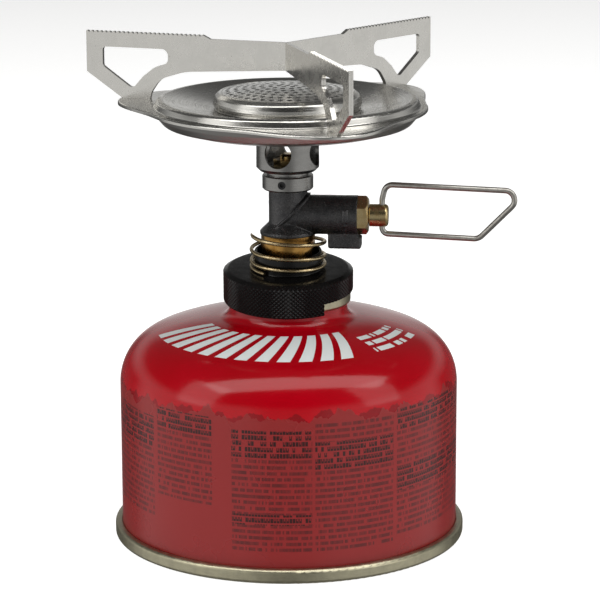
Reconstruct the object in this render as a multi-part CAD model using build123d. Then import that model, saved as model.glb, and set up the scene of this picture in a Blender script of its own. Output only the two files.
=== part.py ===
from build123d import *
import math
import os

# Camping stove screwed on a 100 g gas cartridge.
# Millimetres, +Z up. The origin is on the cartridge's axis, in the plane that it stands on.
# The valve handle points along +X, and the cut-out of the locking collar faces +X and +Y.

# ---------------------------------------------------------------- driving dimensions
# Cartridge
SEAM_R = 45.0
SEAM_TOP = 3.6
SEAM_INNER_R = 41.9
BODY_R = 43.15
SHELL_T = 0.45
SHELL_BOTTOM = 0.9
SHOULDER_Z = 40.3
SHOULDER_R = 13.6
SHOULDER_SWEEP = 68.75
DOME_R = 58.3
NECK_R = 15.0
NECK_FILLET = 2.8
NECK_TOP = 62.7
BASE_EDGE_Z = 5.9
BASE_RISE = 3.0
BASE_T = 0.5

# Cartridge valve
RIM_R = 15.9
RIM_BOTTOM = 60.7
RIM_TOP = 64.1
RIM_T = 0.8
CUP_R = 14.0
CUP_FLOOR = 58.2
CUP_T = 0.6
BOSS_R = 5.55
BOSS_T = 0.9
BOSS_TOP = 66.2
BOSS_HOLE_R = 2.2
HOUSING_BOTTOM = 52.9
HOUSING_FLOOR = 54.9
HOUSING_BORE_R = 2.6
GASKET_BOTTOM = 64.8
STEM_R = 1.1
STEM_TOP = 65.9
STEM_FLANGE_R = 2.1
STEM_FLANGE_TOP = 63.6
STEM_FLANGE_BOTTOM = 61.4
VALVE_SPRING_R = 1.7
VALVE_SPRING_WIRE = 0.2
VALVE_SPRING_TURNS = 6

# Inlet nut, with the thread of the cartridge's boss at its plain diameter
NUT_R = 6.6
NUT_BORE_R = 5.62
NUT_BOTTOM = 59.1
NUT_SHOULDER = 67.3
NUT_POCKET_R = 2.6
NUT_POCKET_TOP = 69.9
NUT_FLANGE_R = 6.85
NUT_FLANGE_BOTTOM = 75.1
NUT_FLANGE_TOP = 78.26
PASSAGE_R = 1.5
SPIGOT_R = 4.0
SPIGOT_TOP = 82.9
CLIP_BOTTOM = 63.1
CLIP_TOP = 63.9
CLIP_R = 8.4
CLIP_GROOVE_R = 6.2

# Locking collar, which hangs a little tilted on the inlet nut
COLLAR_TILT = 5.2
COLLAR_PIVOT_Z = 63.5
COLLAR_R = 16.6
COLLAR_WALL_R = 16.22
COLLAR_TOP = 69.6
COLLAR_CHAMFER_R = 15.3
COLLAR_WALL_TOP = 68.9
COLLAR_CEILING = 65.9
COLLAR_WALL_BOTTOM = 64.3
SKIRT_BOTTOM = 61.2
SKIRT_FROM = 124.0
SKIRT_SWEEP = 180.0
HUB_R = 8.55
HUB_BORE_R = 7.9
HUB_TOP = 74.3

# Collar spring: a left-hand coil that follows the tilted collar and then opens
SPRING_R = 9.3
SPRING_WIRE = 0.5
SPRING_FROM = 230.0
SPRING_TURNS = 3.14
SPRING_RISE = 1.107
SPRING_POWER = 1.76
SPRING_LEVEL_TURNS = 1.6
SPRING_GAP = 0.06
SPRING_LEAN = 0.65
SPRING_LEAN_TURNS = 1.2

# Valve body
BODY_BOTTOM = 78.3
BARREL_R = 4.85
BARREL_TOP = 89.9
BELL_R = 7.1
BELL_TOP = 81.3
BRANCH_R = 5.0
BRANCH_Z = 83.3
BRANCH_YAW = -5.5
BRANCH_END = 17.8
BRANCH_BORE_R = 3.0
BRANCH_BORE_FROM = 4.4
RIB_R = 5.55
RIB_REACH = 6.6
RIB_T = 0.7
LUG_FROM = 10.3
LUG_TO = 18.7
LUG_BOTTOM = 74.9
LUG_WIDTH = 5.0
NECK_SPIGOT_R = 4.6
NECK_SPIGOT_TOP = 95.9
JET_THREAD_R = 2.4

# Spindle and gland, measured along the branch from the barrel's axis
NEEDLE_TIP = 4.9
NEEDLE_TIP_R = 0.3
NEEDLE_END = 7.0
SPINDLE_THREAD_R = 2.93
SPINDLE_THREAD_END = 11.0
SHAFT_R = 2.0
GLAND_BORE_R = 2.06
ORING_AT = 12.6
ORING_WIRE = 0.47
PACKING_FROM = 14.1
PACKING_TO = 15.0
GLAND_CORNER_R = 5.0
GLAND_HEX_TO = 20.5
KNOB_FROM = 20.65
KNOB_TO = 25.5
KNOB_R = 2.85
KNOB_ROUND = 0.9
CROSS_HOLE_AT = 23.9
CROSS_HOLE_R = 0.8

# Wire handle: points in its own plane, (out from the cross hole, up), and their bend radii
WIRE_R = 0.725
HANDLE_YAW = -16.0
HANDLE_POINTS = [(0, 0.4), (0, 4.2), (0.9, 8.0), (37.2, 8.0), (24.9, -4.7), (0, -4.7), (0, -0.4)]
HANDLE_BENDS = [3.0, 2.4, 2.4, 3.0, 1.6]

# Burner tube
RING_BOTTOM = 89.85
RING_TOP = 93.7
RING_R = 6.45
RING_CHAMFER = 0.4
TUBE_NECK_R = 5.25
TUBE_NECK_BORE_R = 4.65
TUBE_R = 7.95
TUBE_BORE_R = 7.1
TUBE_BOTTOM = 94.7
TUBE_FLOOR = 95.7
TUBE_TOP = 104.1
AIR_HOLE_R = 3.55
AIR_HOLE_Z = 99.8
AIR_HOLES = 4
AIR_HOLE_FIRST = -110.0
GRUB_ANGLE = -104.0
GRUB_R = 1.0
GRUB_Z = 91.8
JET_HEX_R = 3.6
JET_HEX_TOP = 97.5
JET_R = 2.0
JET_TOP = 98.9
JET_BORE_R = 0.8
JET_HOLE_R = 0.2

# Burner bowl, plate and cap
BOWL_T = 0.5
BOWL_PATH = [(8.05, 103.5, 0), (26.0, 105.4, 12), (31.2, 106.8, 2.2), (32.8, 108.7, 1.5), (33.6, 110.45, 0)]
PLATE_T = 0.5
FLANGE_TOP = 111.1
FLANGE_R = 35.3
FLANGE_LOBE = 9.4
LIP_DEPTH = 0.4
PLATE_PATH = [
    (34.4, 111.1, 0), (33.5, 111.1, 0.4), (32.8, 112.9, 0.8), (31.5, 113.1, 1.2),
    (18.9, 110.45, 1.0), (17.3, 110.4, 0),
]
CAP_T = 0.3
CAP_PATH = [
    (17.2, 109.2, 0), (17.2, 110.5, 0), (18.5, 110.5, 0.12), (18.5, 111.0, 0), (18.2, 111.2, 0),
    (18.75, 111.65, 0.35), (18.6, 112.6, 0.8), (18.2, 113.8, 0.9), (17.2, 114.6, 0.6), (16.5, 114.75, 0),
]
DISC_R = 16.4
DISC_EDGE_Z = 114.7
DISC_RISE = 1.5
DISC_T = 0.4
DISC_HOLE_R = 0.65
DISC_RINGS = 7
DISC_PITCH = 2.16
MESH_Z = 112.3
MESH_T = 0.3
SPREADER_Z = 109.5
SPREADER_R = 15.0
SPREADER_T = 0.6
SPREADER_LEG = 4.7

# Pot supports: three sheets bent to about 120 degrees, so that each arm is two sheets back to back
ARM_ANGLES = [162.0, 286.0, 46.0]
SHEET_T = 0.55
SHEET_GAP = 0.02
ARM_R = 53.7
ARM_TOP = 128.0
BAR_TOP = 127.0
TOOTH_PITCH = 1.2
TOOTH_DEPTH = 0.45
TEETH = 26
STEP_R = 20.2
ARM_OUTER_BOTTOM = 117.5
FOOT_OUTER_R = 44.3
FOOT_INNER_R = 36.6
TAB_INNER_R = 38.6
TAB_OUTER_R = 41.6
TAB_BOTTOM = 109.8
TAB_SLOT_GAP = 0.1
ARCH = [(0, 119.95), (27.0, 118.45, 16.0), (33.8, 116.3, 5.0), (36.2, 112.8, 3.0)]
WINDOW = [
    (49.3, 124.0, 0.9), (49.3, 119.1, 1.2), (41.3, 113.5, 1.3), (38.4, 116.8, 4.0),
    (35.2, 119.3, 4.0), (31.6, 120.4, 1.5), (31.6, 124.0, 1.7),
]


# ---------------------------------------------------------------- helpers
def face_of(points):
    """Closed face from points (x, y) or (x, y, corner radius)."""
    face = make_face(Polyline(*[(p[0], p[1]) for p in points], close=True))
    for x, y, radius in [p for p in points if len(p) == 3 and p[2] > 0]:
        corner = face.vertices().sort_by_distance((x, y, 0))[0]
        face = fillet(corner, radius)
    return face


def turned(face):
    """Solid of revolution about Z from a face of (radius, height)."""
    return revolve(Plane.XZ * face, Axis.Z, 360)


def tube(r_out, r_in, z_from, z_to):
    """Ring or pipe about Z."""
    outline = [(r_in, z_from), (r_out, z_from), (r_out, z_to), (r_in, z_to)]
    return turned(face_of(outline))


def rod(radius, z_from, z_to):
    """Round bar about Z."""
    return tube(radius, 0, z_from, z_to)


def sheet_face(path, thickness):
    """Cross-section of a sheet: path is one side, and the sheet lies to the left of it."""
    other = []
    for i, (x, y, radius) in enumerate(path):
        before = path[max(i - 1, 0)]
        after = path[min(i + 1, len(path) - 1)]
        d0 = Vector(x - before[0], y - before[1])
        d1 = Vector(after[0] - x, after[1] - y)
        d0 = (d0 if d0.length > 0 else d1).normalized()
        d1 = (d1 if d1.length > 0 else d0).normalized()
        n0 = Vector(-d0.Y, d0.X)
        n1 = Vector(-d1.Y, d1.X)
        miter = (n0 + n1) * (thickness / (1 + n0.dot(n1)))
        left_turn = d0.X * d1.Y - d0.Y * d1.X > 0
        inner_radius = radius - thickness if left_turn else radius + thickness
        other.append((x + miter.X, y + miter.Y, max(inner_radius, 0) if radius > 0 else 0))
    return face_of(path + other[::-1])


def around_axis(solid, radius, count, first=0):
    """Copies of a solid at equal angles on a circle about Z."""
    return [place * solid for place in PolarLocations(radius, count, start_angle=first)]


def domed_disc(radius, edge_z, rise, thickness):
    """Thin disc about Z, domed like a piece of a ball."""
    ball_r = (radius ** 2 + rise ** 2) / (2 * rise)
    disc = Pos(0, 0, edge_z + rise - ball_r) * (Sphere(ball_r) - Sphere(ball_r - thickness))
    return disc & rod(radius, edge_z - thickness, edge_z + rise + 1)


def along_branch(solid):
    """Moves a solid built about Z, with its height measured from the barrel, onto the branch."""
    return Pos(0, 0, BRANCH_Z) * Rot(0, 0, BRANCH_YAW) * Rot(0, 90, 0) * solid


def on_collar(solid):
    """Tilts a solid that belongs to the locking collar."""
    return Pos(0, 0, COLLAR_PIVOT_Z) * Rot(COLLAR_TILT, 0, 0) * Pos(0, 0, -COLLAR_PIVOT_Z) * solid


def coil(radius, wire, points):
    """Round wire along a smooth line through the points."""
    path = Spline(*points)
    section = Plane(origin=path @ 0, z_dir=path % 0) * Circle(wire)
    return sweep(section, path=path)


# ---------------------------------------------------------------- cartridge
def shell_fill(inset, z_from, z_to):
    """Solid inside the cartridge's outer surface, moved inwards by inset."""
    shoulder = Vector(BODY_R - SHOULDER_R, SHOULDER_Z)
    a = math.radians(SHOULDER_SWEEP)
    dome = shoulder + Vector(math.cos(a), math.sin(a)) * (SHOULDER_R - DOME_R)
    neck_x = NECK_R + NECK_FILLET
    neck_y = dome.Y + math.sqrt((DOME_R + NECK_FILLET) ** 2 - (neck_x - dome.X) ** 2)
    meeting = math.degrees(math.atan2(neck_y - dome.Y, neck_x - dome.X))
    wall_r = BODY_R - inset
    neck_r = NECK_R - inset
    outline = [
        Line((wall_r, z_from), (wall_r, SHOULDER_Z)),
        CenterArc(shoulder, SHOULDER_R - inset, 0, SHOULDER_SWEEP),
        CenterArc(dome, DOME_R - inset, SHOULDER_SWEEP, meeting - SHOULDER_SWEEP),
        CenterArc((neck_x, neck_y), NECK_FILLET + inset, 180, meeting),
        Polyline((neck_r, neck_y), (neck_r, z_to), (0, z_to), (0, z_from), (wall_r, z_from)),
    ]
    return turned(make_face(outline))


def cartridge_shell():
    return shell_fill(0, SHELL_BOTTOM, NECK_TOP) - shell_fill(SHELL_T, SHELL_BOTTOM - 1, NECK_TOP + 1)


def cartridge_base():
    inner = BODY_R - SHELL_T
    seam = [
        (SEAM_INNER_R, 0, 0.3), (SEAM_R, 0, 0.9), (SEAM_R, SEAM_TOP, 0.9), (BODY_R, SEAM_TOP, 0.3),
        (BODY_R, SHELL_BOTTOM), (inner, SHELL_BOTTOM), (inner, BASE_EDGE_Z, 0.4),
        (SEAM_INNER_R, BASE_EDGE_Z),
    ]
    return turned(face_of(seam)) + domed_disc(SEAM_INNER_R + 0.1, BASE_EDGE_Z, BASE_RISE, BASE_T)


def valve_cup():
    rim = tube(RIM_R, NECK_R + 0.03, RIM_BOTTOM, RIM_TOP) + tube(RIM_R, CUP_R - RIM_T, RIM_TOP - RIM_T, RIM_TOP)
    rim = fillet(rim.edges().filter_by(GeomType.CIRCLE).filter_by(lambda e: e.radius > RIM_R - 0.01), 0.75)
    wall = tube(CUP_R, CUP_R - CUP_T, CUP_FLOOR - CUP_T, RIM_TOP - 0.1)
    floor = tube(CUP_R, BOSS_R - BOSS_T, CUP_FLOOR - CUP_T, CUP_FLOOR)
    boss = tube(BOSS_R, BOSS_R - BOSS_T, CUP_FLOOR - CUP_T, BOSS_TOP)
    cap = tube(BOSS_R, BOSS_HOLE_R, BOSS_TOP - CUP_T, BOSS_TOP)
    return rim + wall + floor + boss + cap


def cup_gasket():
    return tube(NECK_R - 0.02, CUP_R + 0.02, NECK_TOP + 0.02, RIM_TOP - RIM_T - 0.02)


def valve_housing():
    outer_r = BOSS_R - BOSS_T - 0.03
    cup = rod(outer_r, HOUSING_BOTTOM, GASKET_BOTTOM)
    bore = rod(HOUSING_BORE_R, HOUSING_FLOOR, GASKET_BOTTOM + 1)
    return cup - bore - rod(0.6, HOUSING_BOTTOM - 1, HOUSING_FLOOR + 1)


def valve_gasket():
    return tube(BOSS_R - BOSS_T - 0.03, STEM_R + 0.05, GASKET_BOTTOM, BOSS_TOP - CUP_T - 0.02)


def valve_stem():
    stem = rod(STEM_R, STEM_FLANGE_BOTTOM, STEM_TOP)
    return stem + rod(STEM_FLANGE_R, STEM_FLANGE_BOTTOM, STEM_FLANGE_TOP)


def valve_spring():
    bottom = HOUSING_FLOOR + VALVE_SPRING_WIRE + 0.05
    top = STEM_FLANGE_BOTTOM - VALVE_SPRING_WIRE - 0.05
    pitch = (top - bottom) / VALVE_SPRING_TURNS
    path = Helix(pitch, top - bottom, VALVE_SPRING_R, center=(0, 0, bottom))
    section = Plane(origin=path @ 0, z_dir=path % 0) * Circle(VALVE_SPRING_WIRE)
    return sweep(section, path=path, is_frenet=True)


# ---------------------------------------------------------------- inlet
def inlet_nut():
    nut = rod(NUT_R, NUT_BOTTOM, NUT_FLANGE_BOTTOM) + rod(SPIGOT_R, NUT_FLANGE_TOP, SPIGOT_TOP)
    flange_mid = (NUT_FLANGE_BOTTOM + NUT_FLANGE_TOP) / 2
    flange = rod(NUT_FLANGE_R, NUT_FLANGE_BOTTOM, NUT_FLANGE_TOP)
    flange -= tube(NUT_FLANGE_R + 1, NUT_FLANGE_R - 0.5, flange_mid - 0.35, flange_mid + 0.35)
    nut = chamfer(nut.edges().filter_by(GeomType.CIRCLE).sort_by(Axis.Z)[0], 0.4) + flange
    nut -= rod(NUT_BORE_R, NUT_BOTTOM - 1, NUT_SHOULDER)
    nut -= rod(NUT_POCKET_R, NUT_SHOULDER - 1, NUT_POCKET_TOP)
    nut -= rod(PASSAGE_R, NUT_POCKET_TOP - 1, SPIGOT_TOP + 1)
    return nut - tube(NUT_R + 1, CLIP_GROOVE_R, CLIP_BOTTOM - 0.05, CLIP_TOP + 0.05)


def collar_clip():
    ring = tube(CLIP_R, CLIP_GROOVE_R + 0.02, CLIP_BOTTOM, CLIP_TOP)
    gap = Pos(0, CLIP_R, (CLIP_BOTTOM + CLIP_TOP) / 2) * Box(5, 2 * CLIP_R, 2)
    return ring - gap


def inlet_seal():
    return tube(NUT_BORE_R - 0.1, NUT_POCKET_R, BOSS_TOP + 0.02, NUT_SHOULDER - 0.02)


def depressor_pin():
    plate_z = NUT_SHOULDER + 0.8
    plate = rod(NUT_POCKET_R - 0.05, plate_z, plate_z + 0.6)
    ports = around_axis(Pos(0, 0, plate_z) * Cylinder(0.45, 3), 1.7, 3)
    return plate + rod(0.8, STEM_TOP + 0.02, plate_z + 0.3) - ports


def inlet_filter():
    return rod(NUT_POCKET_R - 0.05, NUT_SHOULDER + 1.42, NUT_POCKET_TOP - 0.02)


# ---------------------------------------------------------------- locking collar
def locking_collar():
    profile = [
        (HUB_BORE_R, COLLAR_CEILING), (COLLAR_WALL_R, COLLAR_CEILING), (COLLAR_WALL_R, COLLAR_WALL_BOTTOM),
        (COLLAR_R, COLLAR_WALL_BOTTOM), (COLLAR_R, COLLAR_WALL_TOP), (COLLAR_CHAMFER_R, COLLAR_TOP),
        (HUB_R, COLLAR_TOP, 0.4), (HUB_R, HUB_TOP, 0.3), (HUB_BORE_R, HUB_TOP),
    ]
    skirt = Plane.XZ * face_of([
        (COLLAR_WALL_R, SKIRT_BOTTOM), (COLLAR_R - 0.3, SKIRT_BOTTOM), (COLLAR_R, SKIRT_BOTTOM + 0.4),
        (COLLAR_R, COLLAR_WALL_BOTTOM + 0.5), (COLLAR_WALL_R, COLLAR_WALL_BOTTOM + 0.5),
    ])
    skirt = Rot(0, 0, SKIRT_FROM) * revolve(skirt, Axis.Z, SKIRT_SWEEP)
    return on_collar(turned(face_of(profile)) + skirt)


def collar_spring():
    slope = math.tan(math.radians(COLLAR_TILT))
    level = COLLAR_PIVOT_Z + (COLLAR_TOP - COLLAR_PIVOT_Z) / math.cos(math.radians(COLLAR_TILT))
    count = round(SPRING_TURNS * 20)
    points = []
    for i in range(count + 1):
        turns = SPRING_TURNS * i / count
        angle = math.radians(SPRING_FROM - 360 * turns)
        share = max(0, 1 - turns / SPRING_LEVEL_TURNS)
        lean = SPRING_LEAN * min(1, (SPRING_TURNS - turns) / SPRING_LEAN_TURNS)
        x, y = SPRING_R * math.cos(angle), SPRING_R * math.sin(angle) - lean
        rise = SPRING_RISE * turns ** SPRING_POWER
        points.append((x, y, level + SPRING_WIRE + SPRING_GAP + y * slope * share + rise))
    return coil(SPRING_R, SPRING_WIRE, points)


# ---------------------------------------------------------------- valve body
def valve_body():
    barrel = rod(BARREL_R, BODY_BOTTOM, BARREL_TOP) + rod(NECK_SPIGOT_R, BARREL_TOP, NECK_SPIGOT_TOP)
    bell = turned(face_of([
        (0, BODY_BOTTOM), (BELL_R, BODY_BOTTOM), (BELL_R, BODY_BOTTOM + 0.8), (BARREL_R, BELL_TOP), (0, BELL_TOP),
    ]))
    branch = along_branch(rod(BRANCH_R, -BELL_R, BRANCH_END))
    # The branch and the barrel meet in a mitre from the inner corner on top down to the bell.
    corner = (BARREL_R, 0, BRANCH_Z + BRANCH_R)
    mitre = Pos(*corner) * Rot(0, -45, 0)
    branch -= mitre * Pos(0, 0, 20) * Box(60, 40, 40)
    slab = mitre * Box(60, 40, RIB_T)
    around = rod(RIB_REACH, BODY_BOTTOM, BRANCH_Z + RIB_R)
    rib = slab & around & along_branch(rod(RIB_R, -BELL_R, BRANCH_END))
    lug = Pos((LUG_FROM + LUG_TO) / 2, 0, (LUG_BOTTOM + BRANCH_Z) / 2)
    lug = Rot(0, 0, BRANCH_YAW) * lug * Box(LUG_TO - LUG_FROM, LUG_WIDTH, BRANCH_Z - LUG_BOTTOM)
    lug = fillet(lug.edges().filter_by(Axis.Z) + lug.edges().group_by(Axis.Z)[0], 0.6)
    lug -= along_branch(rod(BRANCH_R + 1, BRANCH_END, LUG_TO + 2))
    solid = barrel + bell + branch + rib + lug
    solid -= along_branch(rod(BRANCH_BORE_R, BRANCH_BORE_FROM, BRANCH_END + 3))
    solid -= rod(SPIGOT_R + 0.02, BODY_BOTTOM - 1, SPIGOT_TOP + 0.02)
    solid -= rod(PASSAGE_R, SPIGOT_TOP - 1, BRANCH_Z)
    solid -= along_branch(rod(NEEDLE_TIP_R + 0.3, 0, BRANCH_BORE_FROM + 1))
    solid -= rod(JET_THREAD_R, JET_HEX_TOP - 7, NECK_SPIGOT_TOP + 1)
    rise = JET_HEX_TOP - 7 - BRANCH_Z
    port = Plane(origin=(BRANCH_BORE_FROM + 1, 0, BRANCH_Z), z_dir=(-BRANCH_BORE_FROM - 1, 0, rise))
    length = math.hypot(BRANCH_BORE_FROM + 1, rise)
    return solid - extrude(port * Circle(0.8), length + 0.5)


def gland_nut():
    nut = extrude(Rot(0, 0, 0) * RegularPolygon(GLAND_CORNER_R, 6), GLAND_HEX_TO - BRANCH_END)
    cone = turned(face_of([
        (0, 0), (GLAND_CORNER_R, 0), (GLAND_CORNER_R, GLAND_HEX_TO - BRANCH_END - 0.6),
        (GLAND_CORNER_R - 0.9, GLAND_HEX_TO - BRANCH_END), (0, GLAND_HEX_TO - BRANCH_END),
    ]))
    nut = Pos(0, 0, BRANCH_END) * (nut & cone)
    nut += rod(BRANCH_BORE_R - 0.02, PACKING_TO, BRANCH_END)
    return along_branch(nut - rod(GLAND_BORE_R, PACKING_TO - 1, GLAND_HEX_TO + 1))


def gland_packing():
    return along_branch(tube(BRANCH_BORE_R - 0.05, GLAND_BORE_R, PACKING_FROM, PACKING_TO - 0.02))


def valve_spindle():
    needle = turned(face_of([
        (0, NEEDLE_TIP), (NEEDLE_TIP_R, NEEDLE_TIP), (1.6, NEEDLE_END), (0, NEEDLE_END),
    ]))
    stem = rod(SPINDLE_THREAD_R, NEEDLE_END, SPINDLE_THREAD_END) + rod(SHAFT_R, SPINDLE_THREAD_END, KNOB_FROM)
    knob = turned(face_of([
        (0, KNOB_FROM), (KNOB_R, KNOB_FROM, 0.3), (KNOB_R, KNOB_TO, KNOB_ROUND), (0, KNOB_TO),
    ]))
    hole = Pos(0, 0, CROSS_HOLE_AT) * Rot(0, 90, 0) * Cylinder(CROSS_HOLE_R, 4 * KNOB_R)
    return along_branch(needle + stem + knob - hole)


def spindle_o_ring():
    return along_branch(Pos(0, 0, ORING_AT) * Torus(SHAFT_R + ORING_WIRE + 0.005, ORING_WIRE))


def wire_handle():
    path = FilletPolyline(*HANDLE_POINTS, radius=HANDLE_BENDS)
    flat = Plane(origin=path @ 0, z_dir=path % 0) * Circle(WIRE_R)
    wire = sweep(flat, path=path)
    yaw = math.radians(BRANCH_YAW)
    pivot = Pos(CROSS_HOLE_AT * math.cos(yaw), CROSS_HOLE_AT * math.sin(yaw), BRANCH_Z)
    return pivot * Rot(0, 0, HANDLE_YAW) * Rot(90, 0, 0) * wire


# ---------------------------------------------------------------- burner tube
def clamp_ring():
    ring = turned(face_of([
        (TUBE_NECK_R, RING_BOTTOM), (RING_R - RING_CHAMFER, RING_BOTTOM), (RING_R, RING_BOTTOM + RING_CHAMFER),
        (RING_R, RING_TOP - 0.3), (RING_R - 0.3, RING_TOP), (TUBE_NECK_R, RING_TOP),
    ]))
    return ring - radial_rod(GRUB_R + 0.03, TUBE_NECK_R - 1, RING_R + 1, GRUB_ANGLE, GRUB_Z)


def radial_rod(radius, r_from, r_to, angle, z):
    """Round bar that points outwards from the Z axis."""
    return Pos(0, 0, z) * Rot(0, 0, angle) * Rot(0, 90, 0) * rod(radius, r_from, r_to)


def set_screw():
    screw = radial_rod(GRUB_R, TUBE_NECK_R + 0.02, RING_R - 0.2, GRUB_ANGLE, GRUB_Z)
    socket = extrude(RegularPolygon(0.6, 6), 2)
    socket = Pos(0, 0, GRUB_Z) * Rot(0, 0, GRUB_ANGLE) * Rot(0, 90, 0) * Pos(0, 0, RING_R - 0.9) * socket
    return screw - socket


def mixing_tube():
    neck = tube(TUBE_NECK_R - 0.02, TUBE_NECK_BORE_R, BARREL_TOP + 0.05, TUBE_BOTTOM + 0.5)
    floor = turned(face_of([
        (TUBE_NECK_BORE_R, TUBE_BOTTOM), (TUBE_R - 0.9, TUBE_BOTTOM), (TUBE_R, TUBE_BOTTOM + 0.9),
        (TUBE_R, TUBE_FLOOR), (TUBE_NECK_BORE_R, TUBE_FLOOR),
    ]))
    wall = tube(TUBE_R, TUBE_BORE_R, TUBE_FLOOR, TUBE_TOP)
    solid = neck + floor + wall
    for i in range(AIR_HOLES):
        angle = AIR_HOLE_FIRST + 360 / AIR_HOLES * i
        solid -= radial_rod(AIR_HOLE_R, TUBE_NECK_R, TUBE_R + 2, angle, AIR_HOLE_Z)
    return solid


def jet():
    hexagon = Pos(0, 0, NECK_SPIGOT_TOP) * extrude(RegularPolygon(JET_HEX_R, 6), JET_HEX_TOP - NECK_SPIGOT_TOP)
    nozzle = turned(face_of([
        (0, JET_HEX_TOP), (JET_R, JET_HEX_TOP), (JET_R, JET_TOP - 0.6), (JET_R - 0.6, JET_TOP), (0, JET_TOP),
    ]))
    thread = rod(JET_THREAD_R - 0.02, JET_HEX_TOP - 6, NECK_SPIGOT_TOP)
    solid = hexagon + nozzle + thread
    return solid - rod(JET_BORE_R, JET_HEX_TOP - 7, JET_TOP - 0.8) - rod(JET_HOLE_R, JET_HEX_TOP, JET_TOP + 1)


# ---------------------------------------------------------------- burner head
def burner_bowl():
    return turned(sheet_face(BOWL_PATH, BOWL_T))


def trefoil(inset):
    """Outline of the plate's flange, with a lobe under each pot arm."""
    points = []
    steps = 48
    for i in range(steps):
        turn = 360 / steps * i
        from_arm = min(abs((turn - angle + 180) % 360 - 180) for angle in ARM_ANGLES)
        lobe = max(0, math.cos(math.radians(2 * min(from_arm, 45)))) ** 3
        r = FLANGE_R - inset + FLANGE_LOBE * lobe
        points.append((r * math.cos(math.radians(turn)), r * math.sin(math.radians(turn))))
    return make_face(Spline(*points, periodic=True))


def burner_plate():
    flange = Pos(0, 0, FLANGE_TOP - PLATE_T) * extrude(trefoil(0), PLATE_T)
    lip_bottom = FLANGE_TOP - PLATE_T - LIP_DEPTH
    lip = extrude(trefoil(0), LIP_DEPTH + 0.1) - extrude(trefoil(PLATE_T), LIP_DEPTH + 0.1)
    flange += Pos(0, 0, lip_bottom) * lip
    flange = fillet(flange.edges().group_by(Axis.Z)[-1], 0.45)
    flange -= rod(PLATE_PATH[0][0] - 1, FLANGE_TOP - 5, FLANGE_TOP + 5)
    plate = flange + turned(sheet_face(PLATE_PATH, PLATE_T))
    slot = Box(TAB_OUTER_R - TAB_INNER_R + 2 * TAB_SLOT_GAP, 2 * (SHEET_T + SHEET_GAP + TAB_SLOT_GAP), 8)
    for angle in ARM_ANGLES:
        plate -= Rot(0, 0, angle) * Pos((TAB_OUTER_R + TAB_INNER_R) / 2, 0, FLANGE_TOP) * slot
    return plate


def burner_cap():
    return turned(sheet_face(CAP_PATH, CAP_T))


def flame_disc():
    disc = domed_disc(DISC_R, DISC_EDGE_Z, DISC_RISE, DISC_T)
    hole = Pos(0, 0, DISC_EDGE_Z) * Cylinder(DISC_HOLE_R, 6)
    holes = [hole]
    for ring in range(1, DISC_RINGS + 1):
        holes += around_axis(hole, ring * DISC_PITCH, 6 * ring, ring * 7)
    return disc - holes


def flame_mesh():
    return rod(DISC_R + 0.3, MESH_Z, MESH_Z + MESH_T)


def spreader():
    disc = rod(SPREADER_R, SPREADER_Z, SPREADER_Z + SPREADER_T)
    leg = Pos(0, 0, SPREADER_Z - SPREADER_LEG / 2) * Box(1.2, 3, SPREADER_LEG)
    legs = around_axis(leg, SPREADER_R - 1, 3)
    ports = around_axis(Pos(0, 0, SPREADER_Z) * Cylinder(1.6, 4), 10, 8)
    return disc + legs - ports


# ---------------------------------------------------------------- pot supports
def arm_outline():
    teeth_end = ARM_R - TOOTH_PITCH * TEETH
    points = [
        *ARCH, (FOOT_INNER_R, FLANGE_TOP),
        (TAB_INNER_R, FLANGE_TOP), (TAB_INNER_R, TAB_BOTTOM), (TAB_OUTER_R, TAB_BOTTOM), (TAB_OUTER_R, FLANGE_TOP),
        (FOOT_OUTER_R, FLANGE_TOP), (ARM_R, ARM_OUTER_BOTTOM), (ARM_R, ARM_TOP),
    ]
    for i in range(TEETH):
        crest = ARM_R - TOOTH_PITCH * i
        points.append((crest - 0.35 * TOOTH_PITCH, ARM_TOP))
        points.append((crest - 0.7 * TOOTH_PITCH, ARM_TOP - TOOTH_DEPTH))
        points.append((crest - TOOTH_PITCH, ARM_TOP))
    points += [(teeth_end - 0.3, ARM_TOP), (STEP_R, BAR_TOP), (0, BAR_TOP)]
    return face_of(points) - face_of(WINDOW)


def arm_plate(side):
    """Half of one pot arm along +X, standing on the +Y side (side 1) or the -Y side (side -1)."""
    plate = extrude(Plane.XZ * arm_outline(), -SHEET_T)
    offset = SHEET_GAP if side > 0 else -SHEET_GAP - SHEET_T
    return Pos(0, offset, 0) * plate


def pot_support(index):
    """Sheet from one arm to the next, bent round the axis."""
    start = ARM_ANGLES[index]
    end = ARM_ANGLES[(index + 1) % len(ARM_ANGLES)]
    return Rot(0, 0, start) * arm_plate(1) + Rot(0, 0, end) * arm_plate(-1)


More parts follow.
